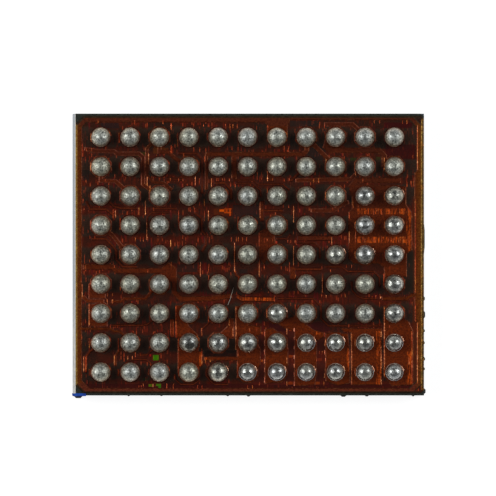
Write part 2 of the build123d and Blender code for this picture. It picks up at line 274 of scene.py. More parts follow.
class Pattern:
    """A material, and the nodes that make its patterns on Object coordinates in millimetres."""

    def __init__(self, name, **fixed):
        self.material = bpy.data.materials.new(name)
        self.material.use_nodes = True
        self.tree = self.material.node_tree
        self.shader = self.tree.nodes["Principled BSDF"]
        for setting, value in fixed.items():
            self.shader.inputs[SETTINGS[setting]].default_value = value
        self.place = add(self.tree, "ShaderNodeTexCoord").outputs["Object"]
        self.place = self.stretched((1 / MILLIMETRE,) * 3)
        self.split = None

    def stretched(self, scale):
        """Coordinates stretched by a factor on each axis."""
        return add(self.tree, "ShaderNodeMapping", {"Vector": self.place, "Scale": scale}).outputs["Vector"]

    def axes(self):
        """X, Y and Z in millimetres."""
        if not self.split:
            self.split = add(self.tree, "ShaderNodeSeparateXYZ", {"Vector": self.place})
        return self.split.outputs["X"], self.split.outputs["Y"], self.split.outputs["Z"]

    def noise(self, scale, detail=2.0, roughness=0.5, vector=None):
        return add(self.tree, "ShaderNodeTexNoise", {
            "Vector": vector or self.place, "Scale": scale, "Detail": detail, "Roughness": roughness,
        }).outputs["Fac"]

    def chance(self, first, second=0.0):
        """Random value from 0 to 1 for each pair of whole numbers."""
        pair = add(self.tree, "ShaderNodeCombineXYZ", {"X": first, "Y": second}).outputs["Vector"]
        return add(self.tree, "ShaderNodeTexWhiteNoise", {"Vector": pair}).outputs["Value"]

    def math(self, operation, *values):
        node = add(self.tree, "ShaderNodeMath", dict(enumerate(values)), operation=operation)
        return node.outputs["Value"]

    def levels(self, value, low, high, to_low=0.0, to_high=1.0):
        """Value stretched from one range to another and clamped."""
        return add(self.tree, "ShaderNodeMapRange", {
            "Value": value, "From Min": low, "From Max": high, "To Min": to_low, "To Max": to_high,
        }).outputs["Result"]

    def ramp(self, value, stops):
        """Colour ramp from (position, colour) stops."""
        node = add(self.tree, "ShaderNodeValToRGB", {"Fac": value})
        elements = node.color_ramp.elements
        for element, (position, colour) in zip(elements, (stops[0], stops[-1])):
            element.position, element.color = position, (*colour, 1)
        for position, colour in stops[1:-1]:
            elements.new(position).color = (*colour, 1)
        return node.outputs["Color"]

    def blend(self, share, first, second, mode="MIX"):
        """Colour mix, where each colour is a socket or an (r, g, b)."""
        first, second = ((*tone, 1) if isinstance(tone, tuple) else tone for tone in (first, second))
        node = add(self.tree, "ShaderNodeMix", {0: share, 6: first, 7: second},
                   data_type="RGBA", blend_type=mode)
        return node.outputs[2]

    def dashes(self, width, length, share):
        """1 inside short strokes along Y that fill a share of a grid of cells, 0 beside them."""
        x, y, _ = self.axes()
        across = self.math("DIVIDE", x, width)
        column = self.math("FLOOR", across)
        along = self.math("ADD", self.math("DIVIDE", y, length), self.chance(column))
        chosen = self.math("LESS_THAN", self.chance(column, self.math("FLOOR", along)), share)
        inside = self.math("MULTIPLY", self.math("COMPARE", self.math("FRACT", across), 0.5, 0.30),
                           self.math("COMPARE", self.math("FRACT", along), 0.5, 0.40))
        return self.math("MULTIPLY", chosen, inside)

    def block(self, column_from, column_to, row_from, row_to):
        """1 inside a rectangle given in ball columns and rows, and 0 outside it."""
        x, y, _ = self.axes()
        left, rear = grid(column_from, row_from)
        right, front = grid(column_to, row_to)
        return self.math("MULTIPLY", *(
            self.math("COMPARE", axis, (low + high) / 2 / MILLIMETRE, (high - low) / 2 / MILLIMETRE)
            for axis, low, high in ((x, left, right), (y, front, rear))
        ))

    def colour(self, socket):
        self.tree.links.new(socket, self.shader.inputs["Base Color"])

    def roughness(self, socket):
        self.tree.links.new(socket, self.shader.inputs["Roughness"])

    def bump(self, heights, depth):
        """Bump of a given depth in metres."""
        node = add(self.tree, "ShaderNodeBump", {"Height": heights, "Distance": depth})
        self.tree.links.new(node.outputs["Normal"], self.shader.inputs["Normal"])


def linear(red, green, blue):
    """Linear colour of a screen colour given from 0 to 255."""
    return tuple(
        part / 12.92 if part <= 0.04045 else ((part + 0.055) / 1.055) ** 2.4
        for part in (red / 255, green / 255, blue / 255)
    )


def film_over_field():
    """Amber film over the dark oxide: dark olive along the ball rows as painted shade where the balls cast
    shadows, redder and streaked between them.
    """
    p = Pattern("film_over_oxide", roughness=0.14, ior=FILM_IOR)
    x, y, _ = p.axes()
    grain = p.noise(42, detail=4, roughness=0.75)
    rear = p.ramp(p.noise(2.2, detail=3), [(0.36, linear(46, 30, 23)), (0.48, linear(58, 29, 19)),
                                           (0.6, linear(72, 28, 16))])
    front = p.ramp(p.noise(2.6, detail=3), [(0.36, linear(58, 28, 19)), (0.48, linear(72, 28, 16)),
                                            (0.6, linear(86, 27, 13))])
    base = p.blend(p.levels(y, 1.5, 0.4), rear, front)
    columns = p.noise(1, detail=2, vector=p.stretched((30, 6, 1)))
    busy = p.levels(p.noise(3.1, detail=1), 0.38, 0.52)
    strokes = p.math("MULTIPLY", p.levels(columns, 0.50, 0.62, 0.0, 0.7), busy)
    base = p.blend(strokes, base, linear(100, 32, 14))
    # Painted shade: dark olive along the ball rows, between the balls where their shadows fall
    rows_down = p.math("DIVIDE", p.math("SUBTRACT", y, ROW_1 / MILLIMETRE), PITCH / MILLIMETRE)
    from_row = p.math("PINGPONG", rows_down, 0.5)
    ragged = p.math("ADD", from_row, p.levels(p.noise(5, detail=2), 0.35, 0.65, -0.07, 0.07))
    base = p.blend(p.levels(ragged, 0.27, 0.36, 0.85, 0.0), base, linear(56, 44, 35))
    base = p.blend(p.levels(grain, 0.38, 0.62, 0.0, 0.5), base, linear(36, 17, 11))
    near_left = p.levels(x, -0.5, -0.8, 0.0, 0.25)
    front_left = p.math("MULTIPLY", near_left, p.levels(y, -0.5, -0.8))
    base = p.blend(front_left, base, linear(36, 24, 19))
    crowd = p.levels(p.noise(2.9, detail=2), 0.44, 0.56)
    street = p.levels(ragged, 0.20, 0.32, 0.25, 1.0)
    # Painted glints on the chip's wiring, mostly in the streets between the ball rows
    for width, length, share, tone in GLINT_DASHES:
        here = p.math("MULTIPLY", p.math("MULTIPLY", p.dashes(width, length, share), crowd), street)
        base = p.blend(p.math("MULTIPLY", here, 0.8), base, tone)
    for *edges, red, green, blue in FIELD_PATCHES:
        share = p.math("MULTIPLY", p.block(*edges), p.levels(grain, 0.3, 0.55, 1.0, 0.6))
        base = p.blend(share, base, linear(red, green, blue))
    p.colour(base)
    p.bump(p.noise(25, detail=3), 0.2 * MICRON)
    return p.material


def film_over_copper(name, rear_tone, front_tone, across=0.0, along=0.0, orange_stripe_areas=()):
    """Amber film over the flat of the copper wiring, which lies redder at the rear and browner at the front.

    across and along are the shares of a duller tone near the front and rear and near the sides. Stripe areas
    are rectangles, as (columns from, to, rows from, to), where orange stripes are painted over the copper:
    painted glints on the supply planes, and the bright orange of two traces.
    """
    p = Pattern(name, roughness=0.16, ior=FILM_IOR)
    grain = p.noise(34, detail=4, roughness=0.85)
    x, y, _ = p.axes()
    base = p.blend(p.levels(y, 1.5, -0.9), rear_tone, front_tone)
    base = p.blend(p.levels(p.noise(0.9, detail=2), 0.38, 0.62, 0.0, 0.35), base, linear(120, 46, 6))
    near_ends = p.levels(p.math("ABSOLUTE", y), 1.74, 1.76)
    ends = p.blend(p.levels(y, 1.7, -1.7), linear(92, 41, 23), linear(108, 48, 30))
    base = p.blend(p.math("MULTIPLY", near_ends, across), base, ends)
    near_sides = p.levels(p.math("ABSOLUTE", x), 2.27, 2.34)
    base = p.blend(p.math("MULTIPLY", near_sides, along), base, linear(120, 66, 18))
    stripes = p.levels(p.noise(1, detail=3, vector=p.stretched((55, 7, 1))), 0.44, 0.60)
    # Orange stripes in the given areas: painted glints on the supply planes, bright orange on two traces
    for edges in orange_stripe_areas:
        base = p.blend(p.math("MULTIPLY", p.block(*edges), stripes), base, linear(222, 90, 20))
    base = p.blend(p.levels(grain, 0.38, 0.62, 0.0, 0.8), base, linear(54, 16, 6))
    specks = p.levels(p.noise(28, detail=2), 0.66, 0.74, 0.0, 0.35)
    base = p.blend(specks, base, linear(150, 60, 22))
    p.colour(base)
    p.bump(p.noise(40, detail=4, roughness=0.6), 0.35 * MICRON)
    return p.material


def film_slope(name, dull, tints, metal, roughness, patchiness):
    """Sloping edge of the copper under its film, which catches the light here and there."""
    p = Pattern(name, metal=metal, roughness=roughness, gloss=0.06)
    base = p.ramp(p.noise(5, detail=2), list(zip((0.36, 0.5, 0.62), tints)))
    patches = p.noise(14, detail=3, roughness=0.6)
    base = p.blend(p.levels(patches, 0.40, 0.60, patchiness, 0.0), base, dull)
    flecks = p.noise(44, detail=2)
    base = p.blend(p.levels(flecks, 0.46, 0.60, 0.8, 0.0), base, dull)
    p.colour(base)
    p.bump(p.noise(30, detail=2), 0.8 * MICRON)
    return p.material


def solder(name, roughness, grain_size, grain_height, dent_size, dent_height, tone, darkest, lightest,
           metal=0.82, contrast=0.0, film_reflection_share=1.0, heights=(0.475, 0.604)):
    """Grainy tin alloy, greener or bluer from ball to ball, and browner towards the film as a painted
    reflection of the film that it mirrors.

    Sizes and the heights where the painted brown starts and ends are in millimetres, and the heights of
    grain and dents in microns. darkest and lightest are shares of the tone, and contrast is how dark the
    painted dark patches are, which stand in for dark reflections on the shinier balls.
    """
    p = Pattern(name, metal=metal)
    _, _, z = p.axes()
    grain = p.noise(1 / grain_size, detail=3, roughness=0.7)
    dents = p.noise(1 / dent_size, detail=1)
    cast = p.ramp(p.noise(2.2, detail=1), [(0.35, (0.97, 0.98, 0.90)), (0.65, (0.95, 0.98, 1.02))])
    stops = ((0.34, darkest), (0.44, 0.72), (0.54, 1.0), (0.66, lightest))
    base = p.ramp(grain, [(place, tuple(share * part for part in tone)) for place, share in stops])
    base = p.blend(1.0, base, cast, mode="MULTIPLY")
    # Painted dark reflections: random dark patches on the shinier balls
    painted_dark_patches = p.levels(p.noise(15, detail=3, roughness=0.6), 0.50, 0.60, 0.0, contrast)
    base = p.blend(painted_dark_patches, base, tuple(0.25 * part for part in tone))
    # Painted reflection of the amber film: browner and lighter towards the bottom of each ball
    film_reflection_tint = p.ramp(p.levels(z, *heights), [(0.0, (1.70, 1.12, 0.84)), (0.30, (1.24, 0.98, 0.80)),
                                          (0.66, (0.98, 0.92, 0.86)), (0.88, (0.90, 0.90, 0.90)),
                                          (1.0, (1.04, 1.04, 1.04))])
    p.colour(p.blend(film_reflection_share, base, film_reflection_tint, mode="MULTIPLY"))
    p.roughness(p.levels(dents, 0.35, 0.65, roughness + 0.08, roughness - 0.08))
    height = p.math("ADD", p.math("MULTIPLY", grain, grain_height), p.math("MULTIPLY", dents, dent_height))
    p.bump(height, MICRON)
    return p.material


def silicon():
    """Sawn silicon with level scratches and a dark line where two cuts meet. The left flank is painted
    darker as shade, and its chipped rim has a painted highlight of the left lamp in pale cream along the top
    and front.
    """
    p = Pattern("sawn_silicon", metal=0.7)
    scratches = p.noise(12, detail=5, roughness=0.7, vector=p.stretched((0.15, 0.15, 6)))
    x, y, height = p.axes()
    left = p.math("LESS_THAN", x, FACE_LOW.x / MILLIMETRE + 0.04)
    base = p.ramp(scratches, [(0.3, (0.14, 0.17, 0.20)), (0.7, (0.28, 0.33, 0.37))])
    # The left flank takes a darker copy of the colours: painted shade that holds down the left lamp's light
    # on it
    left_shaded_tone = p.ramp(scratches, [(0.3, (0.10, 0.13, 0.16)), (0.7, (0.20, 0.25, 0.30))])
    base = p.blend(left, base, left_shaded_tone)
    step = p.math("COMPARE", height, 0.12, 0.012)
    base = p.blend(p.math("MULTIPLY", step, 0.75), base, (0.05, 0.05, 0.06))
    # Painted highlight of the left lamp: pale cream along the top and the front of the chipped left rim
    chipped_lit_rim = p.math("MAXIMUM", p.levels(height, 0.28, 0.33), p.levels(y, -0.5, -1.1, 0.0, 0.6))
    rim_highlight = p.math("MULTIPLY", left, chipped_lit_rim)
    streaky = p.levels(p.noise(18, detail=3, vector=p.stretched((1, 1, 0.3))), 0.36, 0.6, 0.35, 1.0)
    base = p.blend(p.math("MULTIPLY", rim_highlight, streaky), base, (0.60, 0.54, 0.43))
    p.colour(base)
    p.roughness(p.levels(scratches, 0.3, 0.7, 0.42, 0.26))
    p.bump(scratches, 1.5 * MICRON)
    return p.material


def plain(name, grain, stops, bump=None, **fixed):
    """Material with one grainy pattern of colours, and a bump given as (scale, detail, depth)."""
    p = Pattern(name, **fixed)
    p.colour(p.ramp(p.noise(*grain), stops))
    if bump:
        scale, detail, depth = bump
        p.bump(p.noise(scale, detail), depth)
    return p.material


def plated_copper():
    """Copper of the pads, dull where the flux touched it."""
    p = Pattern("pad_copper", metal=1.0)
    p.colour(p.ramp(p.noise(60, detail=4), [(0.3, (0.32, 0.15, 0.07)), (0.7, (0.66, 0.36, 0.22))]))
    p.roughness(p.levels(p.noise(90, detail=2), 0.3, 0.7, 0.28, 0.5))
    p.bump(p.noise(120, detail=3), 0.8 * MICRON)
    return p.material


# Painted glints: short strokes where the chip's own wiring catches the lamps, as cell width, cell length
# (millimetres), share of cells, colour
GLINT_DASHES = [
    (0.029, 0.115, 0.20, linear(112, 32, 16)),
    (0.021, 0.064, 0.11, linear(168, 66, 34)),
    (0.037, 0.190, 0.12, linear(90, 22, 22)),
]

# What shows through the film beside the copper: columns from, to, rows from, to, red, green, blue
FIELD_PATCHES = [
    (0.4, 11.85, 9.4, 9.58, 56, 13, 12), (11.62, 11.8, 3.1, 9.5, 86, 34, 14),
    (5.5, 6.38, 3.3, 3.72, 36, 30, 28), (1.0, 1.62, 0.52, 0.7, 38, 28, 28),
    (7.44, 8.44, 0.44, 0.64, 38, 32, 28), (10.33, 11.2, 1.14, 1.4, 36, 30, 24),
    (8.04, 8.66, 1.24, 1.78, 36, 30, 27), (7.44, 7.74, 0.94, 1.42, 38, 32, 27),
    # Painted shade: the olive patch right of the column 11 balls of rows 5 and 6 lies where their shadows
    # fall
    (2.2, 2.7, 4.48, 5.0, 38, 28, 26), (11.36, 11.66, 4.9, 6.36, 40, 34, 26),
    (0.35, 0.6, 2.12, 2.48, 38, 30, 26), (1.6, 1.85, 3.42, 3.6, 38, 30, 26),
    (3.6, 4.3, 5.32, 5.6, 40, 30, 26), (5.72, 6.0, 5.5, 5.64, 38, 30, 26),
    (6.32, 6.62, 0.56, 0.78, 38, 32, 26), (8.32, 8.62, 2.6, 2.84, 38, 32, 26),
    (3.32, 3.58, 2.58, 2.84, 38, 30, 26), (2.78, 3.3, 1.36, 1.56, 92, 44, 14),
    (3.24, 3.86, 2.36, 2.5, 92, 40, 14), (6.2, 8.75, 7.6, 9.44, 80, 24, 16),
    (7.94, 8.8, 7.3, 7.62, 56, 15, 18), (6.73, 7.4, 7.3, 7.62, 56, 15, 18),
    (4.85, 5.48, 3.43, 3.66, 86, 36, 14), (5.04, 5.21, 3.46, 3.54, 236, 92, 0),
    (5.2, 5.46, 3.43, 3.46, 200, 72, 4), (5.2, 5.44, 3.55, 3.59, 210, 76, 0),
    (5.25, 5.32, 3.46, 3.55, 190, 66, 4), (5.38, 5.43, 3.42, 3.68, 214, 80, 16),
    (4.53, 4.61, 4.38, 4.46, 130, 8, 24), (4.41, 4.47, 4.41, 4.45, 120, 16, 20),
    (6.95, 7.01, 4.54, 4.62, 200, 44, 34), (10.65, 11.6, 0.5, 0.7, 60, 10, 14),
    (10.7, 11.7, 1.25, 1.75, 58, 10, 12), (4.53, 5.6, 8.26, 8.47, 24, 14, 12),
    (4.65, 5.3, 9.33, 9.42, 80, 16, 8), (2.2, 2.62, 1.5, 1.66, 60, 50, 16),
    (9.5, 9.7, 1.7, 1.8, 50, 56, 20), (10.38, 10.52, 1.67, 1.77, 50, 56, 20),
    (2.44, 2.64, 9.21, 9.29, 32, 46, 28), (2.78, 2.97, 8.42, 8.6, 50, 135, 0),
    (2.63, 2.74, 9.41, 9.5, 95, 120, 8), (2.755, 2.8, 9.4, 9.51, 205, 130, 70),
    (2.88, 3.05, 9.4, 9.48, 70, 122, 10), (2.96, 3.05, 9.46, 9.55, 48, 120, 14),
    (2.665, 2.715, 8.39, 8.47, 190, 24, 24), (6.39, 6.52, 7.63, 7.72, 158, 54, 12),
    (6.39, 6.52, 8.57, 8.66, 158, 60, 12), (7.4, 7.52, 7.51, 7.6, 140, 48, 12),
    (7.4, 7.52, 8.42, 8.51, 150, 56, 12), (7.38, 7.54, 9.33, 9.42, 150, 56, 12),
    (8.42, 8.52, 7.72, 7.81, 190, 66, 24), (8.38, 8.54, 8.53, 8.62, 120, 40, 18),
    (8.3, 8.46, 9.33, 9.42, 150, 60, 14),
]

# Painted glints: orange stripes on the supply planes along the film's steps that catch the lamps, as columns
# from, to, rows from, to
PLANE_GLINT_STRIPES = [
    (10.38, 10.56, 7.6, 9.42), (11.43, 11.66, 8.3, 9.42), (9.38, 9.52, 8.2, 9.0), (8.33, 8.5, 7.45, 7.72),
    (3.36, 3.6, 7.15, 7.85), (5.36, 5.62, 7.4, 8.0), (11.4, 11.7, 3.1, 6.3), (4.36, 4.62, 8.1, 8.8),
    (9.72, 11.52, 3.43, 3.62), (9.74, 11.52, 4.39, 4.6),
]
TRACE_STREAKS = [
    (5.6, 6.95, 6.43, 6.57), (4.95, 5.7, 5.3, 5.6),
]

OVER_FIELD = film_over_field()
OVER_PLANES = film_over_copper("film_over_planes", linear(78, 34, 18), linear(112, 42, 9),
                               orange_stripe_areas=PLANE_GLINT_STRIPES)
OVER_TRACES = film_over_copper("film_over_traces", linear(74, 32, 20), linear(120, 48, 19),
                               orange_stripe_areas=TRACE_STREAKS)
OVER_RING = film_over_copper("film_over_ring", linear(94, 40, 12), linear(104, 44, 8), across=1.0, along=0.8)

FAINT_SLOPE = film_slope(
    "faint_slope", linear(66, 24, 12), [(0.18, 0.045, 0.018), (0.16, 0.050, 0.022), (0.20, 0.060, 0.020)],
    metal=0.5, roughness=0.40, patchiness=0.8)
TRACE_SLOPE = film_slope(
    "trace_slope", linear(92, 40, 26), [(0.24, 0.066, 0.036), (0.23, 0.074, 0.044), (0.26, 0.080, 0.030)],
    metal=0.5, roughness=0.42, patchiness=0.6)
LANDING_SLOPE = film_slope(
    "landing_slope", linear(50, 18, 11), [(0.07, 0.014, 0.008)] * 3,
    metal=0.35, roughness=0.42, patchiness=0.7)
GLINT = film_slope(
    "glint", linear(92, 26, 10), [(0.34, 0.055, 0.014), (0.31, 0.065, 0.025), (0.33, 0.10, 0.02)],
    metal=0.9, roughness=0.42, patchiness=0.9)
PALE_GLINT = film_slope(
    "pale_glint", linear(110, 44, 22), [(0.47, 0.15, 0.05), (0.50, 0.19, 0.08), (0.48, 0.17, 0.04)],
    metal=0.9, roughness=0.40, patchiness=0.7)
ROSE_GLINT = film_slope(
    "rose_glint", linear(150, 62, 40), [(0.52, 0.19, 0.11), (0.56, 0.23, 0.14), (0.50, 0.18, 0.09)],
    metal=0.8, roughness=0.42, patchiness=0.4)
CREAM_GLINT = film_slope(
    "cream_glint", linear(150, 90, 60), [(0.80, 0.48, 0.33), (0.85, 0.60, 0.46), (0.80, 0.50, 0.30)],
    metal=0.8, roughness=0.42, patchiness=0.5)
# Film edges by the side they face: olive left, gold right as painted glint, dark front and rear as painted
# shade
OLIVE_EDGE = film_slope(
    "olive_edge", linear(84, 52, 14), [(0.20, 0.11, 0.02), (0.17, 0.12, 0.03), (0.22, 0.10, 0.02)],
    metal=0.5, roughness=0.42, patchiness=0.6)
GOLD_GLINT_EDGE = film_slope(
    "gold_glint_edge", linear(70, 50, 16), [(0.34, 0.15, 0.03), (0.31, 0.19, 0.05), (0.38, 0.16, 0.03)],
    metal=0.8, roughness=0.42, patchiness=0.6)
SHADED_EDGE = film_slope(
    "shaded_edge", linear(34, 24, 14), [(0.05, 0.03, 0.015)] * 3,
    metal=0.0, roughness=0.4, patchiness=0.5)

MATT_SOLDER = solder("matt_solder", 0.45, 0.023, 3.4, 0.07, 4.0, (0.41, 0.42, 0.385), 0.12, 2.0)
BRIGHT_SOLDER = solder("bright_solder", 0.30, 0.022, 2.0, 0.055, 5.0, (0.48, 0.49, 0.47), 0.2, 1.6,
                       contrast=0.75)
LOW_SOLDER = solder("low_solder", 0.29, 0.018, 1.6, 0.055, 5.0, (0.49, 0.50, 0.49), 0.3, 1.5,
                    contrast=0.55, film_reflection_share=0.6, heights=(0.440, 0.576))
# Feet of the low balls: a light copy of the solder as painted light at the front, a dark copy as painted
# shade at the rear
LIT_FOOT_SOLDER = solder("foot_solder", 0.42, 0.030, 1.5, 0.055, 3.0, (0.66, 0.67, 0.66), 0.6, 1.25,
                     metal=0.25, film_reflection_share=0.0)
SHADED_REAR_FOOT = solder("shaded_rear_foot_solder", 0.45, 0.030, 1.5, 0.055, 3.0, (0.34, 0.25, 0.21), 0.6, 1.3,
                   metal=0.25, film_reflection_share=0.0)
# Near-black solder for the pit: painted shade
PIT_SHADE_SOLDER = solder("pit_shade_solder", 0.50, 0.020, 3.0, 0.055, 2.0, (0.10, 0.10, 0.095), 0.5, 2.0)

# Films
lower_sheet = film_sheet(
    "lower_film_sheet",
    {"left": 0.5 * MICRON, "right": 8 * MICRON, "top": 32 * MICRON, "bottom": 32 * MICRON},
    LOWER_FILM_TOP, FACE_HIGH.z, 8 * MICRON, 3.6 * MICRON)
upper_sheet = film_sheet(
    "upper_film_sheet",
    {"left": 6 * MICRON, "right": 26 * MICRON, "top": 42 * MICRON, "bottom": 40 * MICRON},
    FIELD_TOP, LOWER_FILM_TOP, SLOPE_RUN, RELIEF)
for sheet, replaced in ((lower_sheet, "lower_film"), (upper_sheet, "upper_film")):
    paint(sheet, OVER_FIELD, SHADED_EDGE, OLIVE_EDGE, GOLD_GLINT_EDGE, SHADED_EDGE)
    mark_slopes(sheet, EDGE_REACH)
    hand_in(sheet, "amber_film", replaced)

# Film where it climbs over the copper
for node, flat, slope, outset, reach in (
    ("border_ring", OVER_RING, FAINT_SLOPE, -9 * MICRON, EDGE_REACH),
    ("supply_planes", OVER_PLANES, FAINT_SLOPE, 0, None),
    ("signal_traces", OVER_TRACES, TRACE_SLOPE, 0, None),
    ("lone_landings", OVER_TRACES, LANDING_SLOPE, -6 * MICRON, None),
):
    relief = copper_relief(node, node + "_under_film", FILM_TOP, SLOPE_RUN, RELIEF, outset)
    paint(relief, flat, slope, OLIVE_EDGE, GOLD_GLINT_EDGE, SHADED_EDGE)
    mark_slopes(relief, reach)
    hand_in(relief, "wiring_copper", node)


def ridge_tip(name, half_width, height):
    """Roof-shaped ridge one millimetre long, to be shortened along Y."""
    deselect()
    bpy.ops.mesh.primitive_cylinder_add(vertices=4, radius=1, depth=1, rotation=(math.pi / 2, 0, 0))
    ridge = bpy.context.object
    ridge.name = name
    ridge.scale = (half_width, height, MILLIMETRE)
    apply_place(ridge)
    edit(ridge)
    select_vertices(ridge, lambda vertex: vertex.co.z < -height / 2)
    bpy.ops.transform.translate(value=(0, 0, -8 * MICRON))
    leave_edit()
    face_outwards(ridge)
    return ridge


def surface_height(x, y):
    """Height of the film under a point of the face."""
    graph = bpy.context.evaluated_depsgraph_get()
    start = Vector((x, y, FILM_TOP + 20 * MICRON))
    found, place, *_ = bpy.context.scene.ray_cast(graph, start, Vector((0, 0, -1)))
    return place.z if found else FIELD_TOP


def ridges(name, material, places, half_width, height):
    """Short ridges where the film's steps catch the light, as (column, row from, row to)."""
    model = ridge_tip(name, half_width, height)
    paint(model, material)
    made = []
    for column, row_from, row_to in places:
        x, rear = grid(column, row_from)
        _, front = grid(column, row_to)
        middle = (rear + front) / 2
        top = max(surface_height(x, y) for y in (rear, middle, front))
        ridge = model.copy()
        ridge.data = model.data.copy()
        bpy.context.scene.collection.objects.link(ridge)
        ridge.scale = (1, (rear - front) / MILLIMETRE, 1)
        ridge.location = (x, middle, top - RIDGE_SINK)
        made.append(ridge)
    bpy.data.objects.remove(model)
    whole = join(made, name)
    apply_place(whole)
    return whole


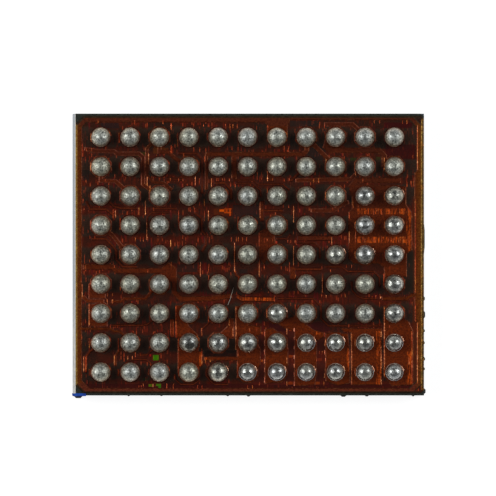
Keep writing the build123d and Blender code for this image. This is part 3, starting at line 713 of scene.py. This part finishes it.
# Steps in the film that catch the light, as (column, row from, row to)
GLINTS = [
    (0.91, 0.43, 0.53), (2.15, 0.42, 0.55), (3.12, 0.43, 0.55), (2.63, 0.85, 1.05), (0.37, 1.2, 1.5),
    (0.52, 1.37, 1.47), (0.68, 1.37, 1.47), (1.63, 1.85, 2.05), (1.48, 2.25, 2.4), (1.16, 2.42, 2.52),
    (0.5, 2.45, 2.55), (0.43, 2.8, 2.9), (3.62, 0.85, 1.3), (3.82, 1.55, 1.65), (4.17, 1.35, 1.5),
    (4.37, 1.35, 1.5), (4.5, 0.55, 0.65), (4.66, 0.55, 0.65), (4.63, 0.85, 1.1), (5.25, 0.55, 0.7),
    (5.4, 0.55, 0.7), (5.5, 0.55, 0.7), (5.65, 0.55, 0.7), (5.69, 0.78, 0.86), (4.36, 2.4, 2.6),
    (4.95, 2.4, 2.5), (5.0, 2.4, 2.5), (5.15, 2.4, 2.5), (5.22, 2.4, 2.5), (5.38, 2.4, 2.5),
    (5.42, 2.6, 2.7), (5.58, 2.6, 2.7), (3.37, 2.4, 2.5), (3.65, 2.4, 2.5), (3.8, 2.4, 2.5),
    (6.68, 0.6, 0.87), (6.68, 2.75, 2.9), (7.62, 0.75, 0.85), (7.65, 1.03, 1.13), (7.25, 1.3, 1.5),
    (7.4, 1.3, 1.5), (8.45, 0.55, 0.7), (8.62, 0.55, 0.7), (8.62, 0.8, 0.9), (6.33, 2.2, 2.45),
    (6.47, 2.2, 2.45), (6.85, 2.4, 2.48), (7.25, 2.4, 2.5), (7.42, 2.4, 2.5), (8.25, 2.4, 2.55),
    (8.42, 2.4, 2.55), (8.65, 2.9, 3.05), (9.37, 2.23, 2.33), (10.32, 0.43, 0.53), (10.5, 0.43, 0.53),
    (11.28, 0.43, 0.55), (11.43, 0.43, 0.55), (9.93, 2.4, 2.55), (11.43, 2.5, 2.7), (11.65, 2.5, 2.7),
    (11.58, 2.5, 2.7), (11.63, 0.8, 0.9), (11.63, 1.62, 1.72), (0.4, 3.1, 3.25), (0.43, 3.42, 3.48),
    (0.43, 3.8, 3.85), (0.4, 4.05, 4.3), (0.45, 5.0, 5.3), (1.42, 3.5, 3.75), (2.8, 3.4, 3.5),
    (2.45, 3.65, 3.75), (0.57, 4.15, 4.25), (0.63, 4.35, 4.45), (0.8, 4.35, 4.45), (2.18, 4.4, 4.55),
    (2.35, 4.4, 4.55), (2.45, 4.4, 4.55), (2.6, 4.4, 4.55), (2.95, 4.45, 4.55), (3.1, 4.45, 4.55),
    (0.62, 5.15, 5.25), (0.47, 5.37, 5.47), (1.47, 5.35, 5.45), (2.6, 5.5, 5.6), (3.68, 3.1, 3.25),
    (3.65, 3.5, 3.9), (3.8, 3.5, 3.65), (4.05, 3.4, 3.55), (4.2, 3.4, 3.55), (4.53, 3.1, 3.35),
    (4.53, 3.5, 3.85), (5.68, 3.7, 3.9), (4.7, 4.4, 4.6), (3.62, 4.55, 4.7), (3.78, 4.55, 4.7),
    (5.45, 4.4, 4.55), (5.62, 4.4, 4.55), (5.69, 4.4, 4.55), (5.83, 4.4, 4.55), (5.97, 4.4, 4.55),
    (5.37, 5.43, 5.53), (5.43, 5.6, 5.7), (4.67, 5.4, 5.6), (4.68, 5.7, 5.85), (3.4, 5.25, 5.4),
    (6.95, 3.55, 3.65), (7.22, 3.3, 3.4), (7.4, 3.3, 3.4), (7.57, 4.15, 4.3), (8.1, 3.4, 3.5),
    (8.9, 3.4, 3.5), (6.4, 4.25, 4.7), (6.57, 4.45, 4.55), (6.67, 4.45, 4.55), (6.85, 4.45, 4.55),
    (6.98, 4.53, 4.63), (7.37, 4.5, 4.6), (7.47, 4.5, 4.6), (7.62, 4.5, 4.6), (8.57, 4.75, 4.85),
    (7.43, 5.25, 5.6), (7.15, 5.4, 5.5), (7.3, 5.4, 5.5), (6.57, 5.35, 5.5), (8.53, 5.4, 5.5),
    (8.83, 5.5, 5.6), (9.6, 3.15, 3.4), (9.77, 3.3, 3.4), (9.47, 3.55, 3.8), (9.68, 4.1, 4.6),
    (10.1, 3.45, 3.6), (10.3, 3.5, 3.65), (10.4, 3.42, 3.55), (10.57, 3.45, 3.65), (10.85, 3.5, 3.62),
    (11.18, 3.45, 3.6), (11.3, 3.45, 3.65), (11.48, 3.4, 3.6), (9.8, 4.4, 4.55), (9.93, 4.42, 4.55),
    (10.0, 4.45, 4.6), (10.28, 4.4, 4.55), (10.35, 4.45, 4.6), (10.57, 4.38, 4.6), (10.8, 4.42, 4.55),
    (10.9, 4.45, 4.58), (11.0, 4.4, 4.52), (11.15, 4.42, 4.6), (11.2, 4.4, 4.5), (11.3, 4.38, 4.62),
    (11.48, 4.4, 4.6), (9.37, 5.35, 5.45), (9.55, 5.35, 5.45), (10.85, 5.4, 5.5), (0.33, 5.78, 5.92),
    (0.5, 5.78, 5.92), (0.61, 5.98, 6.4), (1.23, 6.32, 6.42), (1.4, 6.32, 6.42), (2.68, 6.1, 6.25),
    (1.55, 6.95, 7.05), (2.68, 7.1, 7.25), (1.33, 7.38, 7.5), (1.49, 7.42, 7.5), (1.57, 7.42, 7.5),
    (1.7, 7.5, 7.58), (0.35, 7.75, 7.87), (0.61, 7.85, 8.27), (0.35, 9.05, 9.2), (0.5, 9.08, 9.18),
    (0.61, 8.9, 9.13), (1.6, 7.85, 8.3), (1.46, 8.42, 8.78), (2.18, 8.33, 8.48), (2.35, 8.37, 8.45),
    (2.68, 8.1, 8.2), (2.7, 8.68, 8.8), (2.63, 8.9, 9.1), (2.45, 9.4, 9.52), (2.3, 9.45, 9.52),
    (2.38, 9.45, 9.52), (3.25, 9.4, 9.58), (3.47, 9.4, 9.58), (5.63, 6.27, 6.37), (5.7, 5.75, 5.9),
    (6.92, 6.43, 6.6), (3.38, 7.2, 7.75), (3.47, 7.3, 7.75), (3.65, 7.86, 8.27), (3.65, 8.34, 8.7),
    (3.65, 8.75, 9.1), (4.56, 6.78, 6.88), (4.67, 7.05, 7.3), (4.44, 7.5, 7.75), (4.44, 8.2, 8.45),
    (4.57, 8.5, 8.7), (4.73, 8.57, 8.65), (4.62, 8.88, 9.1), (5.38, 7.2, 7.42), (5.68, 8.2, 8.45),
    (5.67, 8.65, 9.2), (4.3, 9.45, 9.58), (4.45, 9.45, 9.58), (6.0, 9.45, 9.57), (6.17, 9.45, 9.57),
    (7.43, 6.25, 6.33), (7.6, 6.25, 6.33), (6.72, 6.24, 6.31), (8.53, 6.35, 6.45), (9.2, 6.35, 6.45),
    (9.33, 6.35, 6.45), (7.97, 6.38, 6.45), (7.73, 6.7, 6.85), (7.47, 6.65, 6.75), (6.32, 7.48, 7.6),
    (6.5, 7.65, 7.72), (6.5, 8.57, 8.64), (6.4, 9.35, 9.45), (7.37, 8.2, 8.3), (7.53, 8.42, 8.49),
    (7.47, 9.32, 9.39), (8.62, 7.65, 7.8), (8.28, 8.3, 8.4), (8.45, 8.28, 8.38), (8.55, 8.28, 8.38),
    (8.35, 8.55, 8.65), (8.68, 8.72, 8.85), (8.6, 9.33, 9.45), (7.63, 5.68, 5.8), (7.57, 5.27, 5.4),
    (7.73, 5.27, 5.4), (10.37, 6.38, 6.5), (10.5, 6.6, 6.78), (11.72, 3.1, 6.3), (11.72, 6.65, 7.28),
    (10.29, 7.3, 7.4), (10.5, 7.2, 7.4), (10.84, 7.4, 7.5), (9.45, 7.38, 7.48), (9.45, 8.3, 8.75),
    (10.45, 8.3, 8.4),
]
PALE_GLINTS = [
    (2.63, 1.55, 1.95), (2.68, 2.65, 2.9), (2.58, 2.35, 2.65), (4.22, 2.35, 2.65), (4.77, 2.4, 2.7),
    (6.68, 2.15, 2.5), (9.68, 2.15, 2.3), (10.66, 1.7, 2.1), (8.68, 1.75, 1.9), (1.5, 3.5, 3.75),
    (2.3, 3.4, 3.65), (2.52, 3.15, 3.65), (2.57, 3.9, 4.5), (3.38, 4.5, 4.75), (4.67, 3.5, 3.85),
    (5.56, 4.6, 5.6), (4.39, 5.25, 5.75), (6.43, 3.2, 3.75), (7.57, 3.35, 3.9), (7.57, 4.7, 5.35),
    (6.4, 5.2, 5.75), (8.87, 4.4, 4.65), (9.47, 4.2, 4.6), (0.37, 6.0, 6.45), (1.22, 6.52, 6.67),
    (1.4, 6.52, 6.67), (0.61, 6.68, 7.4), (0.42, 8.47, 9.0), (1.46, 8.45, 8.75), (1.92, 8.45, 8.57),
    (2.08, 8.45, 8.57), (4.44, 8.45, 8.75), (5.5, 7.5, 7.78), (5.61, 6.78, 8.25), (8.55, 5.8, 6.3),
    (8.68, 6.37, 6.47), (6.65, 6.85, 7.1), (10.53, 6.42, 6.5), (10.67, 6.78, 8.85), (10.67, 9.05, 9.15),
    (11.79, 7.32, 9.4), (9.55, 7.7, 9.42), (10.55, 7.62, 7.8), (10.55, 8.1, 8.87), (10.55, 9.15, 9.42),
    (7.34, 8.5, 8.7), (7.34, 9.33, 9.47), (7.34, 7.52, 7.72), (11.79, 0.6, 2.1), (11.5, 8.52, 8.75),
    (6.07, 7.5, 7.6), (8.63, 8.0, 8.1), (8.62, 9.05, 9.2),
]
BRIGHT_GLINTS = [
    (6.58, 7.62, 7.78), (6.58, 7.93, 8.1), (6.58, 8.23, 8.4), (6.58, 8.55, 8.7), (6.58, 8.85, 9.0),
    (6.58, 9.17, 9.35), (7.59, 7.5, 7.62), (7.59, 7.8, 7.9), (7.59, 8.1, 8.22), (7.59, 8.43, 8.55),
    (7.59, 8.72, 8.85), (7.59, 9.02, 9.15), (7.59, 9.33, 9.47), (8.63, 8.25, 8.4), (8.66, 8.53, 8.62),
]
WIDE_GLINTS = [
    (3.4, 0.52, 0.75), (3.4, 1.28, 1.55), (1.63, 0.85, 1.2), (4.54, 1.65, 1.85), (1.67, 3.75, 4.15),
    (3.57, 6.74, 7.82), (1.68, 6.1, 6.22), (0.5, 8.47, 9.0), (1.6, 8.9, 9.13), (3.52, 9.08, 9.25),
    (7.63, 6.68, 6.87), (10.65, 5.65, 6.05), (11.6, 7.62, 9.4),
]
for name, material, places, half_width, height in (
    ("step_glints", GLINT, GLINTS, 5 * MICRON, 2.2 * MICRON),
    ("pale_step_glints", PALE_GLINT, PALE_GLINTS, 5 * MICRON, 2.25 * MICRON),
    ("wide_step_glints", GLINT, WIDE_GLINTS, 10 * MICRON, 4.4 * MICRON),
    ("bright_step_glints", ROSE_GLINT, BRIGHT_GLINTS, 6 * MICRON, 2.7 * MICRON),
):
    hand_in(ridges(name, material, places, half_width, height), "wiring_copper")


def crescents(name, material, sites, turn_from, turn_to, ring, half_width):
    """Curved ridges in the film round part of each pad, from one azimuth to another in degrees."""
    height = 0.46 * half_width
    deselect()
    bpy.ops.mesh.primitive_circle_add(vertices=4, radius=1, fill_type="NGON", rotation=(math.pi / 2, 0, 0))
    model = bpy.context.object
    model.scale = (half_width, height, 1)
    apply_place(model)
    edit(model)
    bpy.ops.transform.translate(value=(ring, 0, 0))
    select_vertices(model, lambda vertex: vertex.co.z < -height / 2)
    bpy.ops.transform.translate(value=(0, 0, -6 * MICRON))
    bpy.ops.mesh.select_all(action="SELECT")
    bpy.ops.mesh.spin(steps=8, angle=math.radians(turn_to - turn_from), center=(0, 0, 0), axis=(0, 0, 1))
    leave_edit()
    middle = sum((vertex.co for vertex in model.data.vertices), Vector())
    model.rotation_euler.z = math.radians((turn_from + turn_to) / 2) - math.atan2(middle.y, middle.x)
    apply_place(model)
    face_outwards(model)
    paint(model, material)
    made = [copy_of(model, (*grid(*site), FILM_TOP - RIDGE_SINK), "crescent") for site in sites]
    bpy.data.objects.remove(model)
    return join(made, name)


# Film that catches the light round the pads, as (column, row)
BRIGHT_RIGHT = [
    (8, 8), (9, 8), (10, 8), (11, 8), (6, 9), (7, 9), (8, 9), (9, 9), (10, 9), (11, 9),
]
HIGH_RIGHT = [
    (11, 3), (11, 4), (9, 5), (10, 5), (11, 5), (7, 7), (5, 9),
]
FAINT_RIGHT = [
    (10, 3), (10, 4), (11, 6), (6, 7), (11, 7), (1, 1), (2, 1), (3, 1), (7, 1), (1, 2), (3, 2), (4, 2),
    (1, 3), (2, 3), (5, 3), (5, 4), (6, 4), (1, 5), (5, 5), (1, 7), (4, 7), (5, 7), (1, 8), (2, 8), (3, 8),
    (4, 8), (1, 9), (3, 9), (4, 9),
]
BRIGHT_LEFT = [
    (1, 1), (1, 2), (1, 3), (11, 3), (10, 4), (11, 4), (10, 5), (10, 8), (10, 9), (9, 8), (9, 3), (7, 7),
]
FAINT_LEFT = [
    (1, 4), (1, 5), (1, 6), (1, 7), (1, 8), (1, 9), (2, 2), (2, 7), (2, 9), (4, 4), (5, 8), (4, 5), (11, 5),
    (11, 8), (11, 9), (8, 8), (8, 9), (6, 8), (9, 4), (6, 4),
]
for name, material, sites, turn_from, turn_to, ring, half_width in (
    ("bright_right_crescents", CREAM_GLINT, BRIGHT_RIGHT, 6, 40, 128 * MICRON, 5 * MICRON),
    ("high_right_crescents", CREAM_GLINT, HIGH_RIGHT, 8, 38, 137 * MICRON, 4.5 * MICRON),
    ("faint_right_crescents", GLINT, FAINT_RIGHT, 8, 42, 136 * MICRON, 5 * MICRON),
    ("bright_left_crescents", PALE_GLINT, BRIGHT_LEFT, 160, 205, 136 * MICRON, 6 * MICRON),
    ("faint_left_crescents", GLINT, FAINT_LEFT, 160, 205, 135 * MICRON, 5 * MICRON),
):
    hand_in(crescents(name, material, sites, turn_from, turn_to, ring, half_width), "amber_film")

# Solder balls
PAD_TOP = PAD_HIGH.z
JOINT_RADIUS = PAD_WIDTH / 2 - 2 * MICRON
TALL_RADIUS = JOINT_RADIUS + 11.5 * MICRON
TALL_HEIGHT = TALL_RADIUS + math.sqrt(TALL_RADIUS ** 2 - JOINT_RADIUS ** 2)
LOW_RADIUS = 115.5 * MICRON
LOW_HEIGHT = 158 * MICRON
FOOT_RADIUS = 112.5 * MICRON
FOOT_THICKNESS = 17 * MICRON
# Faces of a low ball beyond this radius and below this height belong to its foot
FOOT_INNER_RADIUS = 106 * MICRON
FOOT_HEIGHT = 9.5 * MICRON
LOW_BALLS = {(column, 8) for column in range(8, 12)} | {(column, 9) for column in range(6, 12)}
BRIGHT_BALLS = {(10, 3), (11, 3), (10, 4), (11, 4), (9, 5), (10, 5), (11, 5), (11, 6), (7, 7), (11, 7),
                (4, 8), (5, 8), (6, 8), (7, 8), (5, 9)}
BALL_FINISHES = (MATT_SOLDER, BRIGHT_SOLDER, LIT_FOOT_SOLDER, PIT_SHADE_SOLDER, SHADED_REAR_FOOT, LOW_SOLDER)
MATT, BRIGHT, FOOT, PIT, REAR, LOW = range(len(BALL_FINISHES))
PIT_COLUMN, PIT_ROW = 4, 8


def solder_ball(name, radius, height):
    """Ball that reaches a height over its pad and goes on down inside it."""
    centre = (0, 0, PAD_TOP + height - radius)
    deselect()
    bpy.ops.mesh.primitive_uv_sphere_add(segments=36, ring_count=26, radius=radius, location=centre)
    ball = bpy.context.object
    ball.name = name
    apply_place(ball)
    edit(ball)
    # Blender's own threshold is nearly as large as the ball, so this cut leaves the part in the pad
    bpy.ops.mesh.bisect(plane_co=(0, 0, PAD_TOP), plane_no=(0, 0, 1), clear_inner=True, use_fill=True)
    leave_edit()
    face_outwards(ball)
    only(ball)
    bpy.ops.object.shade_smooth_by_angle(angle=math.radians(40))
    return ball


def solder_foot(name):
    """Ring of solder that spreads over the rim of the pad."""
    deselect()
    bpy.ops.mesh.primitive_torus_add(major_segments=36, minor_segments=10, location=(0, 0, PAD_TOP + MICRON),
                                     major_radius=FOOT_RADIUS, minor_radius=FOOT_THICKNESS / 2)
    foot = bpy.context.object
    foot.name = name
    apply_place(foot)
    only(foot)
    bpy.ops.object.shade_smooth()
    return foot


def sink_pit(ball):
    """Shallow pit in the top of one ball, a little towards the front, painted near black as shade."""
    way = Vector((0.15, -0.34, 0.93)).normalized()
    heart = Vector((*grid(PIT_COLUMN, PIT_ROW), PAD_TOP + TALL_RADIUS / 2)) + way * TALL_RADIUS
    heart = min((vertex.co for vertex in ball.data.vertices), key=lambda spot: (spot - heart).length).copy()
    edit(ball)
    for reach, depth in ((56 * MICRON, 4 * MICRON), (42 * MICRON, 8 * MICRON)):
        select_vertices(ball, lambda vertex: (vertex.co - heart).length < reach)
        bpy.ops.transform.translate(value=way * -depth)
    leave_edit()
    # Painted shade: the faces in the pit take the near-black solder
    for face in ball.data.polygons:
        away = face.center - heart
        if math.hypot(away.x / 1.6, away.y) < 41 * MICRON and away.z > -30 * MICRON:
            face.material_index = PIT


def ball_slot(away, low, bright):
    """Slot of a ball's face that lies away from the middle of its pad by a vector."""
    if low and away.xy.length > FOOT_INNER_RADIUS and away.z < PAD_TOP + FOOT_HEIGHT:
        # Painted light and shade: the front of a foot takes the light solder, its rear the dark one
        return FOOT if away.y < 0.25 * away.x else REAR
    if low:
        return LOW
    return BRIGHT if bright else MATT


tall_ball = solder_ball("tall_ball", TALL_RADIUS, TALL_HEIGHT)
low_ball = join([solder_ball("low_ball", LOW_RADIUS, LOW_HEIGHT), solder_foot("foot")], "low_ball")
for row, letter in enumerate(ROW_LETTERS, start=1):
    balls = []
    for column in range(1, COLUMNS + 1):
        low = (column, row) in LOW_BALLS
        middle = Vector((*grid(column, row), 0))
        ball = copy_of(low_ball if low else tall_ball, middle, "ball")
        paint(ball, *BALL_FINISHES)
        for face in ball.data.polygons:
            face.material_index = ball_slot(face.center - middle, low, (column, row) in BRIGHT_BALLS)
        balls.append(ball)
    if row == PIT_ROW:
        sink_pit(balls[PIT_COLUMN - 1])
    hand_in(join(balls, f"solder_row_{letter}"), "solder", f"ball_row_{letter}")
for model in (tall_ball, low_ball):
    bpy.data.objects.remove(model)

# Lint thread that lies on the film beside ball 5 of row F, as (column, row)
LINT = [(5.52, 6.12), (5.50, 6.22), (5.45, 6.36), (5.41, 6.52), (5.36, 6.62), (5.33, 6.72)]
LINT_RADIUS = 3.5 * MICRON
lint_curve = bpy.data.curves.new("lint_thread", "CURVE")
lint_curve.dimensions = "3D"
spline = lint_curve.splines.new("NURBS")
spline.points.add(len(LINT) - 1)
for point, place in zip(spline.points, LINT):
    point.co = (*grid(*place), FILM_TOP + 4 * MICRON, 1)
spline.order_u = 3
spline.use_endpoint_u = True
lint_curve.bevel_depth = LINT_RADIUS
lint_curve.bevel_resolution = 2
lint_curve.resolution_u = 6
lint_curve.use_fill_caps = True
lint = bpy.data.objects.new("lint_thread", lint_curve)
bpy.context.scene.collection.objects.link(lint)
only(lint)
bpy.ops.object.convert(target="MESH")
lint = bpy.context.object
face_outwards(lint)
lint.data.materials.clear()
paint(lint, plain("lint_fibre", (60, 2), [(0.35, linear(110, 100, 90)), (0.65, linear(190, 180, 165))],
                  roughness=0.6, sheen=0.4))
hand_in(lint, "amber_film")

# CAD nodes that keep their shape
FINISHES = {
    "silicon_die": silicon(),
    # Dark green-black oxide of the sawing street
    "circuit_layer": plain(
        "street_oxide", (30, 4),
        [(0.35, linear(28, 32, 27)), (0.55, linear(38, 42, 35)), (0.75, linear(58, 62, 52))],
        bump=(80, 3, 0.6 * MICRON), roughness=0.35),
    # Matt black, rough where the saw tore it
    "back_coating": plain(
        "back_laminate", (45, 5, 0.7), [(0.3, (0.012, 0.012, 0.011)), (0.7, (0.05, 0.052, 0.046))],
        bump=(90, 4, 2.5 * MICRON), roughness=0.7),
    # Green that a thin oxide takes on
    "test_marks": plain(
        "green_oxide", (35, 3), [(0.35, (0.08, 0.30, 0.02)), (0.65, (0.20, 0.45, 0.05))],
        bump=(70, 2, 0.3 * MICRON), roughness=0.25),
    # Blue dicing tape
    "tape_residue": plain(
        "blue_tape", (16, 4), [(0.35, linear(22, 48, 130)), (0.65, linear(40, 90, 190))],
        bump=(30, 3, 2 * MICRON), roughness=0.3),
}
pad_finish = plated_copper()
FINISHES.update({f"pad_row_{letter}": pad_finish for letter in ROW_LETTERS})
for node, finish in FINISHES.items():
    nodes[node].data.materials.clear()
    paint(nodes[node], finish)

# Floor, light and camera
FLOOR_WIDTH = 0.4
FLOOR_GREY = 0.3
FLOOR_GLOW = 0.87
deselect()
bpy.ops.mesh.primitive_plane_add(size=FLOOR_WIDTH, location=(0, 0, -2 * MICRON))
floor = bpy.context.object
floor.name = "floor"


def seen_directly(tree):
    """Socket that is 1 for rays from the eye, a mirror or glass, and 0 for other light."""
    path = add(tree, "ShaderNodeLightPath").outputs
    total = path["Is Camera Ray"]
    for kind in ("Is Glossy Ray", "Is Transmission Ray"):
        total = add(tree, "ShaderNodeMath", {0: total, 1: path[kind]}, operation="MAXIMUM").outputs["Value"]
    return total


paper = bpy.data.materials.new("pale_floor")
paper.use_nodes = True
tree = paper.node_tree
tree.nodes.remove(tree.nodes["Principled BSDF"])
matt = add(tree, "ShaderNodeBsdfDiffuse", {"Color": (FLOOR_GREY,) * 3 + (1,)})
lift = add(tree, "ShaderNodeMath", {0: seen_directly(tree), 1: FLOOR_GLOW}, operation="MULTIPLY")
glow = add(tree, "ShaderNodeEmission", {"Strength": lift.outputs["Value"]})
both = add(tree, "ShaderNodeAddShader", {0: matt.outputs["BSDF"], 1: glow.outputs["Emission"]})
tree.links.new(both.outputs["Shader"], tree.nodes["Material Output"].inputs["Surface"])
paint(floor, paper)

# White to the camera, and as light a dome that is brightest near the horizon
world = bpy.data.worlds.new("studio")
bpy.context.scene.world = world
world.use_nodes = True
tree = world.node_tree
dome = tree.nodes["Background"]
dome.inputs["Color"].default_value = (1, 1, 1, 1)
up = add(tree, "ShaderNodeSeparateXYZ", {"Vector": add(tree, "ShaderNodeTexCoord").outputs["Generated"]})
fall = add(tree, "ShaderNodeMapRange", {
    "Value": up.outputs["Z"], "From Min": 0.05, "From Max": 0.70, "To Min": 0.66, "To Max": 0.04,
})
tree.links.new(fall.outputs["Result"], dome.inputs["Strength"])
white = add(tree, "ShaderNodeBackground", {"Color": (1, 1, 1, 1)})
choose = add(tree, "ShaderNodeMixShader", {
    "Fac": add(tree, "ShaderNodeLightPath").outputs["Is Camera Ray"],
    1: dome.outputs["Background"], 2: white.outputs["Background"],
})
tree.links.new(choose.outputs["Shader"], tree.nodes["World Output"].inputs["Surface"])

# Two disc lamps: azimuth, half angle that the disc spans and strength
LAMP_DISTANCE = 0.06
LAMP_ELEVATION = math.radians(42)
for name, azimuth, spread, light in (("left_lamp", 170, 19, 1.75), ("right_lamp", 20, 15, 1.35)):
    turn = math.radians(azimuth)
    direction = Vector((math.cos(turn) * math.cos(LAMP_ELEVATION), math.sin(turn) * math.cos(LAMP_ELEVATION),
                        math.sin(LAMP_ELEVATION)))
    deselect()
    bpy.ops.object.light_add(type="AREA", location=direction * LAMP_DISTANCE)
    lamp = bpy.context.object
    lamp.name = name
    lamp.data.shape = "DISK"
    lamp.data.size = 2 * LAMP_DISTANCE * math.tan(math.radians(spread))
    lamp.data.energy = light * math.pi * LAMP_DISTANCE ** 2
    lamp.rotation_euler = direction.to_track_quat("Z", "Y").to_euler()

VIEW_WIDTH = 6.76 * MILLIMETRE
CAMERA_HEIGHT = 0.2
SENSOR_WIDTH = 36
camera_data = bpy.data.cameras.new("camera")
camera = bpy.data.objects.new("camera", camera_data)
bpy.context.scene.collection.objects.link(camera)
camera.location = (-0.002 * MILLIMETRE, 0.089 * MILLIMETRE, CAMERA_HEIGHT + FILM_TOP)
camera_data.sensor_width = SENSOR_WIDTH
camera_data.lens = SENSOR_WIDTH * CAMERA_HEIGHT / VIEW_WIDTH
camera_data.clip_start = 0.01
camera_data.clip_end = 1
bpy.context.scene.camera = camera

bpy.context.scene.view_settings.view_transform = "Standard"
